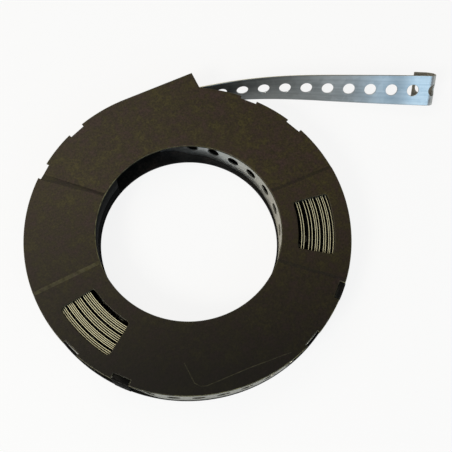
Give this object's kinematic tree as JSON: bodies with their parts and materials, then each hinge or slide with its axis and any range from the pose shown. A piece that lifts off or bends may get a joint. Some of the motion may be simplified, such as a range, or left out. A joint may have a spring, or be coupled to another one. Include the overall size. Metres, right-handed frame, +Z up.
{
  "type": "perforated steel strap coil",
  "caption": "Coil of perforated galvanised steel strap in a round clipped plastic cassette, with its free end drawn out of a spout and hooked back.",
  "frame": {"origin": "on the cassette's axis, in the plane of its underside", "axes": "+Z up along the cassette's axis; +X the way the spout points, with the spout on the +Y side"},
  "size_m": [0.2488, 0.165, 0.02],
  "materials": {
    "galvanised_strap": "bright galvanised",
    "front_plastic": "fine moulded grain",
    "back_plastic": "fine moulded grain"
  },
  "bodies": {
    "root": {"strap": "galvanised_strap", "front_shell": "front_plastic", "back_shell": "back_plastic"}
  },
  "joints": []
}
